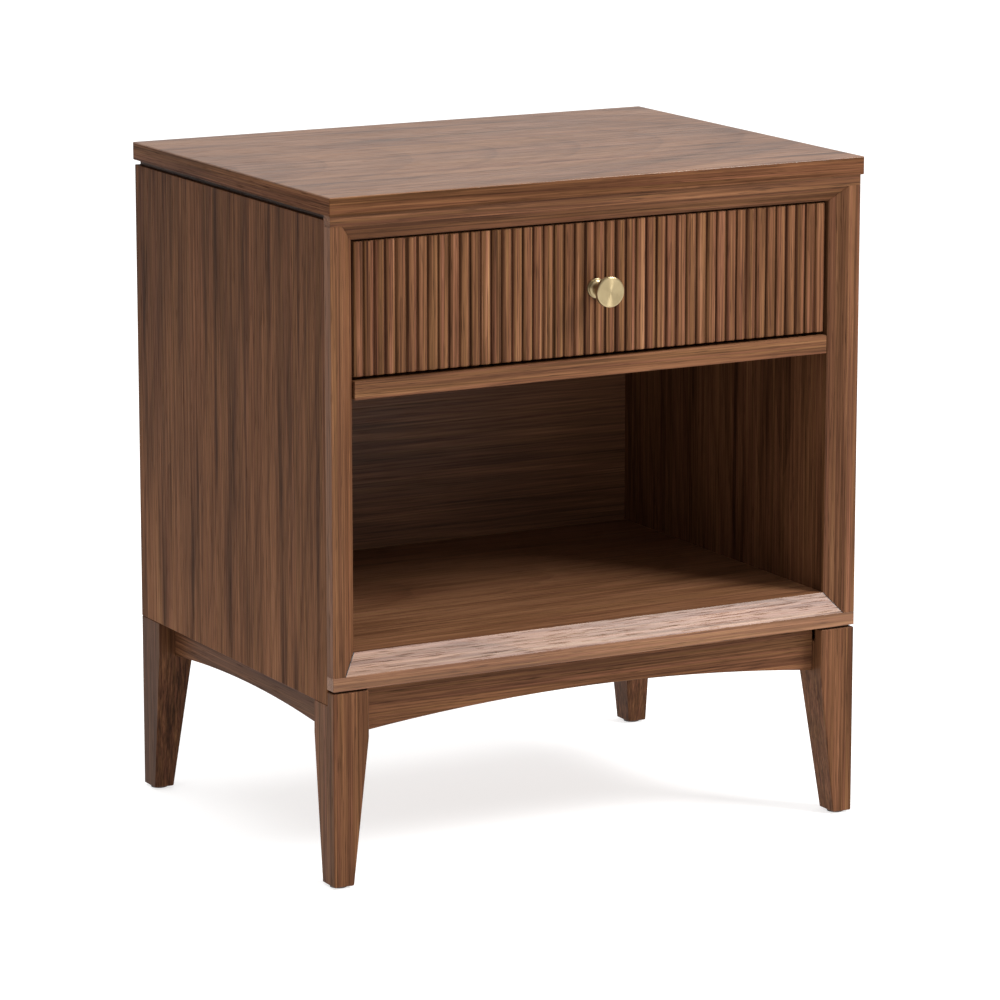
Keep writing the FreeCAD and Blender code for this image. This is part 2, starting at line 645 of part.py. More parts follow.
def build_drawer_front():
    """The drawer front: a board with a row of crowned reeds that run up its face."""
    x = (f"-{DRAWER_X}", DRAWER_X)
    z = ("drawer_front_low_z", DRAWER_TOP_Z)
    front = slab("drawer_front", x, (REED_ROOT_Y, DRAWER_REAR_Y), z)
    pitch = f"(2 * {DRAWER_X} / reed_count)"
    half = f"({pitch} / 2 - reed_groove / 2)"
    centre = f"(-{DRAWER_X} + {pitch} / 2)"
    shoulder = f"({REED_Y} + reed_crown)"
    crown = f"(({half}^2 + reed_crown^2) / (2 * reed_crown))"
    points = [(f"{centre} - {half}", REED_ROOT_Y), (f"{centre} - {half}", shoulder)]
    points += [(f"{centre} + {half}", shoulder), (f"{centre} + {half}", REED_ROOT_Y)]
    sketch = front.outline("XY_Plane", z[0], points, {1: (crown, 1)})
    reed = front.pad("XY_Plane", sketch, 1, "drawer_front_tall")
    row = front.body.newObject("PartDesign::LinearPattern", "reeds")
    row.Originals = [reed]
    row.Direction = (sketch, ["H_Axis"])
    bind(row, "Length", f"{pitch} * (reed_count - 1)")
    bind(row, "Occurrences", "reed_count")
    front.body.Tip = row
    doc.recompute()
    front.drill("XZ_Plane", DRAWER_REAR_Y, -1, [("0", "knob_z")], SCREW_HOLE, "drawer_front_thick")
    grip = f"{DRAWER_SCREW_LONG} - box_wall + hole_spare"
    front.drill("XZ_Plane", DRAWER_REAR_Y, -1, DRAWER_SCREWS, SCREW_HOLE, grip)


def groove_board(board, plane, lift, span, face, towards):
    """Cut the groove for the drawer bottom along one face of a wall of the box."""
    low = f"{DRAWER_BOTTOM_Z} - groove_play"
    high = f"{DRAWER_BOTTOM_Z} + bottom_thick + groove_play"
    deep = f"({face}) + ({towards}) * (groove_deep)"
    points = [(face, low), (deep, low), (deep, high), (face, high)]
    sketch = board.outline(plane, lift, points)
    board.pocket(plane, sketch, 1, span)


def build_drawer_box():
    """The drawer box: two long sides, a front and a back between them, a grooved-in bottom."""
    z = ("box_low_z", BOX_TOP_Z)
    for side, sign in SIDES:
        x = mirrored(sign, BOX_IN_X, BOX_X)
        span_y = (DRAWER_REAR_Y, BOX_REAR_Y)
        wall = slab(f"drawer_side_{side}", x, span_y, z, ("Chamfer", "veneer_ease"))
        inner = f"{sign} * {BOX_IN_X}"
        groove_board(wall, "XZ_Plane", DRAWER_REAR_Y, "box_deep", inner, sign)
        outer = f"{sign} * {BOX_X}"
        grip = f"{BOX_SCREW_GRIP} + hole_spare"
        wall.drill("YZ_Plane", outer, -sign, SLIDE_SCREWS, SCREW_HOLE, grip)
    width = (f"-{BOX_IN_X}", BOX_IN_X)
    span = f"2 * {BOX_IN_X}"
    front = slab("drawer_box_front", width, (DRAWER_REAR_Y, BOX_FACE_Y), z)
    groove_board(front, "YZ_Plane", f"-{BOX_IN_X}", span, BOX_FACE_Y, -1)
    front.drill("XZ_Plane", DRAWER_REAR_Y, 1, [("0", "knob_z")], SCREW_HOLE, "box_wall")
    front.drill("XZ_Plane", DRAWER_REAR_Y, 1, DRAWER_SCREWS, SCREW_HOLE, "box_wall")
    box_back_y = f"({BOX_REAR_Y} - box_wall)"
    back = slab("drawer_box_back", width, (box_back_y, BOX_REAR_Y), z)
    groove_board(back, "YZ_Plane", f"-{BOX_IN_X}", span, box_back_y, 1)
    tongue = "(groove_deep - 2 * groove_play)"
    slab(
        "drawer_bottom",
        (f"-({BOX_IN_X} + {tongue})", f"({BOX_IN_X} + {tongue})"),
        (f"({BOX_FACE_Y} - {tongue})", f"({box_back_y} + {tongue})"),
        (DRAWER_BOTTOM_Z, f"({DRAWER_BOTTOM_Z} + bottom_thick)"),
    )


def build_knob():
    """The turned knob, revolved about its own Z axis and turned to face forwards."""
    knob = Piece("knob")
    rim = "(knob_out - knob_rim_tall)"
    neck_end = f"({rim} - knob_back_tall)"
    bore = SCREW_HOLE
    points = [(bore, "0"), ("knob_base_radius", "0"), ("knob_base_radius", "knob_base_tall")]
    points += [("knob_neck_radius", "knob_base_tall + knob_flare_tall")]
    points += [("knob_neck_radius", neck_end), ("knob_radius", rim)]
    points += [("knob_radius", "knob_out - knob_edge_round")]
    points += [("knob_radius - knob_edge_round", "knob_out"), ("0", "knob_out")]
    points += [("0", "knob_bore_deep"), (bore, "knob_bore_deep")]
    arcs = {2: ("knob_flare_radius", -1), 6: ("knob_edge_round", 1)}
    sketch = knob.outline("XZ_Plane", "0", points, arcs)
    turned = knob.body.newObject("PartDesign::Revolution", "turned")
    turned.Profile = sketch
    turned.ReferenceAxis = (sketch, ["V_Axis"])
    turned.Angle = 360.0
    knob.body.Placement = FreeCAD.Placement(
        FreeCAD.Vector(0, 0, 0), FreeCAD.Rotation(FreeCAD.Vector(1, 0, 0), 90)
    )
    bind(knob.body, "Placement.Base.y", REED_Y)
    bind(knob.body, "Placement.Base.z", "knob_z")


def channel(label, sign, reach, half_tall):
    """One slide member: a web on its back line and two flanges that reach to the lip line.

    reach gives the back line and the lip line, as distances from the side panel's inner face,
    and the sheet's thickness, signed the way that the flanges point.
    """
    back, lip, wall = reach
    member = Piece(label, ("0", "slide_front_y", "slide_mid_z"))
    places = [(back, -1, "0"), (lip, -1, "0"), (lip, -1, "slide_wall")]
    places.append((f"{back} + {wall}", -1, "slide_wall"))
    places += [(offset, 1, inset) for offset, _, inset in reversed(places)]
    points = [
        (f"{sign} * ({INNER_X} - ({offset}))", f"slide_mid_z + {end} * ({half_tall} - {inset})")
        for offset, end, inset in places
    ]
    sketch = member.outline("XZ_Plane", "slide_front_y", points)
    member.pad("XZ_Plane", sketch, 1, "slide_long")
    return member


def ball_rows(outside, inside):
    """The two heights, above and below the slide's middle, where a row of balls runs."""
    gap = f"(({outside} - slide_wall + {inside}) / 2)"
    return [f"(slide_mid_z {side} {gap})" for side in ("+", "-")]


def build_cage(place, side, sign, middle, rows):
    """Two perforated strips and the steel balls that they keep apart."""
    label = f"ball_cage_{place}_{side}"
    ball_label = f"slide_balls_{place}_{side}"
    centre_x = f"{sign} * ({INNER_X} - {middle})"
    first = "(cage_front_y + cage_long / 2 - ball_pitch * (ball_count - 1) / 2)"
    count = int(value("ball_count"))
    centres = [(centre_x, f"{first} + {number} * ball_pitch") for number in range(count)]
    cage = Piece(label, several=True)
    half = "cage_wide / 2"
    ends = ("cage_front_y", "cage_front_y + cage_long")
    corners = ((f"- {half}", 0), (f"+ {half}", 0), (f"+ {half}", 1), (f"- {half}", 1))
    points = [(f"{centre_x} {shift}", ends[end]) for shift, end in corners]
    for row in rows:
        low = f"{row} - cage_thick / 2"
        cage.pad("XY_Plane", cage.outline("XY_Plane", low, points), 1, "cage_thick")
    for row in rows:
        low = f"{row} - cage_thick / 2"
        cage.drill("XY_Plane", low, 1, centres, "ball_radius + cage_play", "cage_thick")
    balls = []
    for row in rows:
        for x, y in centres:
            ball = doc.addObject("Part::Sphere", "ball")
            bind(ball, "Radius", "ball_radius")
            for axis, text in zip("xyz", (x, y, row)):
                bind(ball, f"Placement.Base.{axis}", text)
            balls.append(ball)
    group = doc.addObject("Part::Compound", ball_label)
    group.Label = ball_label
    group.Links = balls
    sub_parts.append(group)


def build_slides():
    """On each side an outer, a middle and an inner member, with caged balls between them."""
    outer_reach = ("0", "channel_reach", "slide_wall")
    middle_reach = ("middle_back", "channel_reach", "slide_wall")
    inner_reach = ("slide_wide", "inner_lip", "-slide_wall")
    for side, sign in SIDES:
        outer = channel(f"slide_outer_{side}", sign, outer_reach, "outer_half_tall")
        face = f"{sign} * {INNER_X}"
        outer.drill("YZ_Plane", face, -sign, SLIDE_SCREWS, SCREW_HOLE, "slide_wall")
        channel(f"slide_middle_{side}", sign, middle_reach, "middle_half_tall")
        inner = channel(f"slide_inner_{side}", sign, inner_reach, "inner_half_tall")
        drawer_face = f"{sign} * {BOX_X}"
        inner.drill("YZ_Plane", drawer_face, sign, SLIDE_SCREWS, SCREW_HOLE, "slide_wall")
        outer_rows = ball_rows("outer_half_tall", "middle_half_tall")
        inner_rows = ball_rows("middle_half_tall", "inner_half_tall")
        build_cage("outer", side, sign, "outer_cage_middle", outer_rows)
        build_cage("inner", side, sign, "inner_cage_middle", inner_rows)


def build_screws():
    """Every screw of the case, the base and the drawer, in sets of equal ones."""
    top = Piece("top_fixing_screws", several=True)
    top_long = f"stretcher_thick + {TOP_SCREW_GRIP}"
    add_screws(top, "XY_Plane", STRETCHER_LOW_Z, 1, top_screw_places(), top_long)
    base = Piece("base_fixing_screws", several=True)
    corners = [base_screw_place(sign, end_sign) for sign in (-1, 1) for end_sign in (-1, 1)]
    add_screws(base, "XY_Plane", "side_low_z - block_tall", 1, corners, BASE_SCREW_LONG)
    case = Piece("slide_case_screws", several=True)
    drawer = Piece("slide_drawer_screws", several=True)
    for side, sign in SIDES:
        web = f"{sign} * ({INNER_X} - slide_wall)"
        long = f"slide_wall + {SLIDE_SCREW_GRIP}"
        add_screws(case, "YZ_Plane", web, sign, SLIDE_SCREWS, long, "slide_head_tall")
        web = f"{sign} * ({BOX_X} + slide_wall)"
        long = f"slide_wall + {BOX_SCREW_GRIP}"
        add_screws(drawer, "YZ_Plane", web, -sign, SLIDE_SCREWS, long)
    front = Piece("drawer_front_screws", several=True)
    add_screws(front, "XZ_Plane", BOX_FACE_Y, -1, DRAWER_SCREWS, DRAWER_SCREW_LONG)
    knob = Piece("knob_screw")
    add_screws(knob, "XZ_Plane", BOX_FACE_Y, -1, [("0", "knob_z")], KNOB_SCREW_LONG)


def build_dowels():
    """All the dowels, as one set: each crosses the joint that it holds."""
    dowels = Piece("wood_dowels", several=True)
    for sign in (-1, 1):
        start = f"{sign} * {INNER_X} - case_dowel_half"
        sketch = dowels.circles("YZ_Plane", start, CASE_DOWELS, "dowel_radius")
        dowels.pad("YZ_Plane", sketch, 1, "2 * case_dowel_half")
        start = f"{sign} * {LEG_IN_X} - leg_dowel_half"
        places = [
            (f"({face_y} + apron_thick / 2)", z)
            for face_y in (FRONT_APRON_Y, BACK_APRON_Y)
            for z in LONG_DOWEL_Z
        ]
        sketch = dowels.circles("YZ_Plane", start, places, "dowel_radius")
        dowels.pad("YZ_Plane", sketch, 1, "2 * leg_dowel_half")
    places = [
        (f"{sign} * ({APRON_IN_X} + apron_thick / 2)", z) for sign in (-1, 1) for z in SIDE_DOWEL_Z
    ]
    for joint_y in (f"({FRONT_Y} + leg_deep)", f"({BACK_Y} - leg_deep)"):
        start = f"{joint_y} - leg_dowel_half"
        sketch = dowels.circles("XZ_Plane", start, places, "dowel_radius")
        dowels.pad("XZ_Plane", sketch, 1, "2 * leg_dowel_half")


def check_model():
    """Stop if a feature failed or a sub-part has no sound shape."""
    for item in doc.Objects:
        if "Invalid" in item.State or "Error" in item.State:
            raise RuntimeError(f"{item.Label} failed: {item.State}")
    for item in sub_parts:
        if item.Shape.isNull() or not item.Shape.isValid():
            raise RuntimeError(f"{item.Label} has no sound shape")


def export_parts():
    """Write each sub-part to a file of its own name."""
    os.makedirs("parts", exist_ok=True)
    for item in sub_parts:
        item.Shape.exportStep(f"parts/{item.Label}.step")
    print(f"{len(sub_parts)} sub-parts written")


fill_sheet()
build_top()
build_sides()
build_case_boards()
build_face_frame()
build_legs()
build_aprons()
build_base_joinery()
build_drawer_front()
build_drawer_box()
build_knob()
build_slides()
build_screws()
build_dowels()
doc.recompute()
check_model()
export_parts()
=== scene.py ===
"""Looks of the nightstand: walnut veneer, an eased top, a reeded drawer front, a brass knob.

Metres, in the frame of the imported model: the front faces -Y and +Z is up. Sizes inside the
materials are millimetres, as a maker would give them. Places come from the model's own boxes.
"""

import math

import bmesh
import bpy
import numpy as np
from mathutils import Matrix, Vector


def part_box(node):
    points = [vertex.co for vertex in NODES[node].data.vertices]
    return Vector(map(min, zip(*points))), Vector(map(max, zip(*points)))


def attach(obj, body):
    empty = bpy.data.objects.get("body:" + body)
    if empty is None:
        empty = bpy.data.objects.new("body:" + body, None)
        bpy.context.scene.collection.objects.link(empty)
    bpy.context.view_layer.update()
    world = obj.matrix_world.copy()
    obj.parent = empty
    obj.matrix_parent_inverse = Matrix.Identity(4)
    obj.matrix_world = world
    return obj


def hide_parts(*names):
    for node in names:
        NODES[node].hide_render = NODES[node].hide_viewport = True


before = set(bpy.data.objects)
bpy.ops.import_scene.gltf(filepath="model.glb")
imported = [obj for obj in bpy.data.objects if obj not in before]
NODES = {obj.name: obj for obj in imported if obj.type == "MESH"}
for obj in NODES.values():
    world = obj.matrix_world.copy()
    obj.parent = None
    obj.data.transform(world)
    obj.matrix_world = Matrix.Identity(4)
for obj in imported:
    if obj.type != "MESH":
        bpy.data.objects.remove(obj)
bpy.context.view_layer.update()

MM = 0.001
SIDES = ("left", "right")
ENDS = ("front", "back")


# ---------------------------------------------------------------- materials: the workbench

class Finish:
    """A material on the bench: nodes are added one by one and end in its one shader."""

    def __init__(self, name):
        self.material = bpy.data.materials.new(name)
        self.material.use_nodes = True
        self.tree = self.material.node_tree
        self.tree.nodes.clear()
        self.shader = self.add("BsdfPrincipled")
        self.join(self.add("OutputMaterial").inputs["Surface"], self.shader.outputs["BSDF"])

    def add(self, kind, **settings):
        """A new node with its settings."""
        node = self.tree.nodes.new("ShaderNode" + kind)
        for key, setting in settings.items():
            setattr(node, key, setting)
        return node

    def join(self, socket, source):
        """Feed a socket from another node's output, or set it to a number or colour."""
        if isinstance(source, bpy.types.NodeSocket):
            self.tree.links.new(source, socket)
        else:
            socket.default_value = source

    def coat(self, **sockets):
        """Set or feed the shader's sockets, named with _ for a space."""
        for key, source in sockets.items():
            self.join(self.shader.inputs[key.replace("_", " ")], source)

    def sum(self, operation, first, second=0.0):
        """One step of arithmetic."""
        node = self.add("Math", operation=operation)
        self.join(node.inputs[0], first)
        self.join(node.inputs[1], second)
        return node.outputs[0]

    def scaled(self, share, factor, base=0.0, middle=0.5):
        """base + factor * (share - middle)."""
        node = self.add("Math", operation="MULTIPLY_ADD")
        self.join(node.inputs[0], share)
        node.inputs[1].default_value = factor
        node.inputs[2].default_value = base - factor * middle
        return node.outputs[0]

    def move(self, operation, first, second):
        """One step of arithmetic on two places."""
        node = self.add("VectorMath", operation=operation)
        self.join(node.inputs[0], first)
        self.join(node.inputs[1], second)
        return node.outputs[0]

    def apart(self, place):
        """The three numbers of a place."""
        node = self.add("SeparateXYZ")
        self.join(node.inputs[0], place)
        return node.outputs

    def together(self, *numbers):
        """A place from its three numbers."""
        node = self.add("CombineXYZ")
        for socket, number in zip(node.inputs, numbers):
            self.join(socket, number)
        return node.outputs[0]

    def choose(self, share, first, second):
        """The first place where the share is 0, the second where it is 1."""
        node = self.add("Mix", data_type="VECTOR")
        self.join(node.inputs["Factor"], share)
        self.join(node.inputs["A"], first)
        self.join(node.inputs["B"], second)
        return node.outputs["Result"]

    def blend(self, share, first, second, kind="MIX"):
        """Two colours mixed by a share from 0 to 1."""
        node = self.add("Mix", data_type="RGBA", blend_type=kind)
        self.join(node.inputs["Factor"], share)
        self.join(node.inputs["A"], first)
        self.join(node.inputs["B"], second)
        return node.outputs["Result"]

    def ramp(self, share, stops):
        """Colours along a scale, as (place, colour) stops."""
        node = self.add("ValToRGB")
        scale = node.color_ramp
        while len(scale.elements) < len(stops):
            scale.elements.new(0.5)
        for element, (place, colour) in zip(scale.elements, stops):
            element.position = place
            element.color = (*colour, 1.0)
        self.join(node.inputs["Fac"], share)
        return node.outputs["Color"]

    def span(self, share, low, high, out_low=0.0, out_high=1.0):
        """Stretch the part of a scale from low to high over a new scale, and clamp it there."""
        node = self.add("MapRange", clamp=True)
        ends = (low, high, out_low, out_high)
        for key, end in zip(("From Min", "From Max", "To Min", "To Max"), ends):
            node.inputs[key].default_value = end
        self.join(node.inputs["Value"], share)
        return node.outputs["Result"]

    def speckle(self, place, size, detail=2.0, roughness=0.5):
        """Soft random patches from 0 to 1; size is their length along each axis, in mm."""
        stretched = self.move("MULTIPLY", place, tuple(1.0 / (MM * length) for length in size))
        node = self.add("TexNoise")
        node.inputs["Scale"].default_value = 1.0
        node.inputs["Detail"].default_value = detail
        node.inputs["Roughness"].default_value = roughness
        self.join(node.inputs["Vector"], stretched)
        return node.outputs["Fac"]

    def noise_line(self, place, scale, detail, roughness=0.5):
        """Soft random steps along a line."""
        node = self.add("TexNoise", noise_dimensions="1D")
        node.inputs["Scale"].default_value = scale
        node.inputs["Detail"].default_value = detail
        node.inputs["Roughness"].default_value = roughness
        self.join(node.inputs["W"], place)
        return node.outputs["Fac"]

    def place(self):
        """The point's own place on the piece."""
        return self.add("TexCoord").outputs["Object"]

    def relief(self, height, deep):
        """Bump from a height from 0 to 1, deep in mm."""
        node = self.add("Bump")
        node.inputs["Strength"].default_value = 1.0
        node.inputs["Distance"].default_value = deep * MM
        self.join(node.inputs["Height"], height)
        self.join(self.shader.inputs["Normal"], node.outputs["Normal"])


# ---------------------------------------------------------------- walnut

# Which axes run along, across and into a board, by the axis that its fibres follow.
GRAIN_TURNS = {"x": (0, 1, 2), "y": (1, 0, 2), "z": (2, 0, 1)}
WALNUT = (
    (0.00, (0.012, 0.0048, 0.0025)),
    (0.25, (0.040, 0.0158, 0.0075)),
    (0.45, (0.094, 0.0390, 0.0180)),
    (0.62, (0.165, 0.0715, 0.0335)),
    (0.80, (0.265, 0.1270, 0.0630)),
    (1.00, (0.400, 0.2200, 0.1220)),
)
PORE = (0.016, 0.0068, 0.0036, 1.0)
JOINT_SHADE = -0.8
PLUM = (1.04, 0.95, 1.06)
OLIVE = (0.98, 1.04, 0.88)
# The marks of walnut: length in mm along, across and into the board, then detail, roughness.
MARKS = {
    "drift": ((1100.0, 150.0, 150.0), 1.0, 0.5),
    "wander": ((260.0, 20.0, 20.0), 2.0, 0.5),
    "cloud": ((190.0, 55.0, 55.0), 2.0, 0.5),
    "smoke": ((300.0, 15.0, 15.0), 3.0, 0.5),
    "streak": ((700.0, 5.0, 5.0), 3.0, 0.76),
    "tint": ((400.0, 3.2, 3.2), 2.0, 0.6),
    "fibre": ((170.0, 1.7, 1.7), 2.0, 0.70),
    "fleck": ((26.0, 0.95, 0.95), 1.0, 0.5),
}
# How a board comes out of the log. heart is the (across, deep) distance in mm from the board's
# own zero to the middle of the log, gap the mm from one year ring to the next, lean how fast
# the log tapers away, figure how much the rings wander, bands how strong their colours are,
# streak and fibre how strong the straight streaks and the fine lines are, smoke how dark the
# smoky streaks are, pores how much the open pores show, painted_lift how much lighter the wood
# is painted in a metre of its length, which is painted light (the side panels are painted
# lighter towards the bottom for the floor's bounce and reflection), tint how much the streaks
# turn from plum to olive.
PLAIN_SAWN = {
    "heart": (20.0, 130.0), "gap": 9.0, "lean": 0.06, "figure": 0.35, "bands": 0.28,
    "streak": 0.36, "fibre": 0.64, "smoke": 0.22, "pores": 0.55, "painted_lift": 0.0, "tint": 1.8,
}
RIFT_SAWN = {
    "heart": (230.0, 120.0), "gap": 5.5, "lean": 0.02, "figure": 0.12, "bands": 0.26,
    "streak": 0.40, "fibre": 0.70, "smoke": 0.12, "pores": 0.55, "painted_lift": 0.0, "tint": 2.0,
}


def along_grain(finish, grain, shift):
    """The point's place as (along, across, deep) of the board, shifted by a board's own amount."""
    axes = finish.apart(finish.place())
    turned = finish.together(*(axes[axis] for axis in GRAIN_TURNS[grain]))
    return finish.move("ADD", turned, shift)


def own_shift(seed):
    """A board's own place in the tree, in metres."""
    return tuple(float(part) for part in np.random.default_rng(seed).uniform(-3.0, 3.0, 3))


def end_strip(finish, wood):
    """A board's place, swapped for a strip's along Y on the ends that face along X."""
    strip = along_grain(finish, "y", (0.7, 0.3, 0.0))
    normal = finish.apart(finish.add("TexCoord").outputs["Normal"])
    at_end = finish.sum("GREATER_THAN", finish.sum("ABSOLUTE", normal[0]), 0.7)
    return finish.choose(at_end, wood, strip)


def joint_line(finish, low, high):
    """1 in a thin line along the mitred ends of a rail, which run from a low to a high place.

    Each place is (distance from the middle, height). The line is where a point lies close
    enough to the joint's plane and above the low place.
    """
    close = 0.7 * MM
    run = Vector((low[0] - high[0], high[1] - low[1])).normalized()
    axes = finish.apart(finish.place())
    across = finish.scaled(finish.sum("ABSOLUTE", axes[0]), -run.y, middle=low[0])
    gap = finish.sum("SUBTRACT", across, finish.scaled(axes[2], run.x, middle=low[1]))
    thin = finish.sum("LESS_THAN", finish.sum("ABSOLUTE", gap), close)
    return finish.sum("MULTIPLY", thin, finish.sum("GREATER_THAN", axes[2], low[1]))


def walnut(name, grain, seed, tone, cut, gloss=(0.44, 0.08), end_strips=False, joint=None):
    """One walnut board. grain is the axis that its fibres follow, seed makes it its own board.

    tone is how light it is, from 0 to 1, and cut is how it comes out of the log. gloss is the
    (roughness, reflection) of its oil. end_strips is for a board with strips on its ends.
    joint, for a rail with open mitres, is the two places between which they run.
    """
    finish = Finish(name)
    wood = along_grain(finish, grain, (0.0, 0.0, 0.0))
    if end_strips:
        wood = end_strip(finish, wood)
    shade = finish.sum("MULTIPLY", joint_line(finish, *joint), JOINT_SHADE) if joint else None
    place = finish.move("ADD", wood, own_shift(seed))
    return finish_walnut(finish, wood, place, tone, cut, gloss, shade)


def ring_count(finish, wood, drift, wander, cut):
    """Year rings between the heart of the log and a point of the board."""
    length, across, deep = finish.apart(wood)
    sway = finish.scaled(drift, 0.09 * cut["figure"], -cut["heart"][0] * MM)
    aside = finish.sum("ADD", across, sway)
    below = finish.sum("ADD", deep, finish.scaled(length, cut["lean"], cut["heart"][1] * MM, middle=0.0))
    squares = (finish.sum("MULTIPLY", side, side) for side in (aside, below))
    reach = finish.sum("SQRT", finish.sum("ADD", *squares))
    reach = finish.sum("ADD", reach, finish.scaled(wander, 0.008 * cut["figure"]))
    return finish.sum("DIVIDE", reach, cut["gap"] * MM)


def finish_walnut(finish, wood, place, tone, cut, gloss, shade=None):
    """The colour, shine and relief of walnut. wood is a place in the log, place one in the tree.

    Rings are contours of the distance to the heart, pushed about by slow patches. Their broad
    bands, thin late-wood lines, straight streaks, fine fibres and slow clouds add up to one
    tone, together with a painted lift along the board's length that is painted light; the tone
    picks the colour, some streaks turn it to plum or olive, and open pores are dashes of dark
    over it. shade is added to the tone: a dark joint line, or a reed's own tone less the
    painted shade in its grooves.
    """
    drift = finish.speckle(place, *MARKS["drift"])
    wander = finish.speckle(place, *MARKS["wander"])
    rings = ring_count(finish, wood, drift, wander, cut)
    band = finish.noise_line(rings, scale=0.55, detail=3.0, roughness=0.62)
    year = finish.sum("POWER", finish.sum("FRACT", rings), 5.0)
    bend = finish.together(0.0, finish.scaled(drift, 0.020 * cut["figure"]), 0.0)
    straight = finish.move("ADD", place, bend)
    streak = finish.speckle(straight, *MARKS["streak"])
    fibre = finish.speckle(straight, *MARKS["fibre"])
    pores = finish.span(finish.speckle(straight, *MARKS["fleck"]), 0.58, 0.74)
    cloud = finish.speckle(place, *MARKS["cloud"])
    smoke = finish.span(finish.speckle(straight, *MARKS["smoke"]), 0.54, 0.78)
    beside = finish.move("ADD", straight, (0.0, 1.7, 0.9))
    hue = finish.scaled(finish.speckle(beside, *MARKS["tint"]), cut["tint"], 0.5)

    total = finish.scaled(band, cut["bands"], tone)
    length = finish.apart(wood)[0]
    parts = [
        finish.scaled(streak, cut["streak"]),
        finish.scaled(fibre, cut["fibre"]),
        finish.scaled(cloud, 0.22),
        finish.scaled(year, -0.08, middle=0.2),
        finish.scaled(smoke, -cut["smoke"], middle=0.15),
        # Painted light: the wood is painted lighter along its length, the side panels lighter towards
        # the bottom for the floor's bounce and reflection.
        finish.scaled(length, cut["painted_lift"], middle=0.4),
    ]
    if shade is not None:
        parts.append(shade)
    for part in parts:
        total = finish.sum("ADD", total, part)

    tint = finish.ramp(hue, ((0.0, PLUM), (1.0, OLIVE)))
    colour = finish.blend(1.0, finish.ramp(total, WALNUT), tint, "MULTIPLY")
    colour = finish.blend(finish.sum("MULTIPLY", pores, cut["pores"]), colour, PORE)
    rough = finish.sum("ADD", finish.scaled(cloud, 0.08, gloss[0]), finish.scaled(fibre, -0.20))
    rough = finish.sum("ADD", rough, finish.scaled(pores, 0.18, middle=0.0))
    finish.coat(Base_Color=colour, Roughness=rough, Specular_IOR_Level=gloss[1])
    finish.relief(finish.sum("SUBTRACT", finish.scaled(fibre, 0.5), finish.scaled(pores, 0.6)), 0.12)
    return finish.material


# ---------------------------------------------------------------- pale woods, metals, nylon

def pale_wood(name, grain, seed, light, dark):
    """Poplar, birch or beech: close even grain, short flecks and a faint slow tone."""
    finish = Finish(name)
    wood = along_grain(finish, grain, own_shift(seed))
    fibre = finish.speckle(wood, (120.0, 1.6, 1.6), 3.0, 0.6)
    ray = finish.speckle(wood, (5.0, 0.7, 0.7), 1.0)
    cloud = finish.speckle(wood, (260.0, 22.0, 22.0), 3.0)
    mixed = finish.sum("ADD", finish.scaled(fibre, 0.45, 0.22), finish.scaled(cloud, 0.6, 0.3))
    colour = finish.ramp(mixed, ((0.25, dark), (0.80, light)))
    marks = finish.span(ray, 0.60, 0.70)
    tan = tuple(part * 0.55 for part in dark)
    colour = finish.blend(finish.sum("MULTIPLY", marks, 0.4), colour, (*tan, 1.0))
    finish.coat(Base_Color=colour, Roughness=finish.scaled(cloud, 0.2, 0.5), Specular_IOR_Level=0.3)
    finish.relief(fibre, 0.06)
    return finish.material


def brass(name):
    """Satin brass, brushed round its own axis, a little duller where fingers wear it."""
    finish = Finish(name)
    here = finish.place()
    wear = finish.speckle(here, (9.0, 9.0, 9.0), 3.0)
    colour = finish.ramp(wear, ((0.3, (0.36, 0.28, 0.155)), (0.7, (0.43, 0.34, 0.195))))
    along_profile = finish.apart(finish.add("UVMap", uv_map="round").outputs["UV"])[1]
    lines = finish.noise_line(along_profile, scale=260.0, detail=3.0)
    colour = finish.blend(finish.sum("MULTIPLY", lines, 0.3), colour, (0.33, 0.25, 0.13, 1.0))
    tangent = finish.add("Tangent", direction_type="UV_MAP", uv_map="round")
    finish.coat(Base_Color=colour, Roughness=finish.scaled(wear, 0.10, 0.31), Metallic=1.0,
                Anisotropic=0.9, Anisotropic_Rotation=0.25, Tangent=tangent.outputs["Tangent"])
    finish.relief(lines, 0.02)
    return finish.material


def zinc(name, tint, gloss=0.34):
    """Zinc-plated steel: a soft grey bloom with rolling marks along the sheet."""
    finish = Finish(name)
    here = finish.place()
    bloom = finish.speckle(here, (6.0, 9.0, 6.0), 3.0, 0.6)
    rolled = finish.speckle(here, (0.5, 60.0, 0.5), 2.0)
    dark = tuple(part * 0.72 for part in tint)
    colour = finish.ramp(bloom, ((0.3, dark), (0.7, tint)))
    finish.coat(Base_Color=colour, Roughness=finish.scaled(rolled, 0.22, gloss), Metallic=1.0)
    finish.relief(rolled, 0.015)
    return finish.material


def nylon(name):
    """Black moulded nylon with a fine spark texture."""
    finish = Finish(name)
    grit = finish.speckle(finish.place(), (0.8, 0.8, 0.8), 2.0)
    colour = finish.ramp(grit, ((0.3, (0.012, 0.011, 0.011)), (0.7, (0.030, 0.028, 0.027))))
    finish.coat(Base_Color=colour, Roughness=finish.span(grit, 0.3, 0.7, 0.45, 0.65))
    finish.relief(grit, 0.05)
    return finish.material


# ---------------------------------------------------------------- shapes

def grid_quads(rows, columns, start=0, flip=False):
    """Four-sided faces of a grid of points, row by row, as an array of point numbers."""
    row, column = np.meshgrid(np.arange(rows - 1), np.arange(columns - 1), indexing="ij")
    corner = row * columns + column
    quads = np.stack([corner, corner + 1, corner + columns + 1, corner + columns], axis=-1)
    quads = quads.reshape(-1, 4) + start
    return quads[:, ::-1] if flip else quads


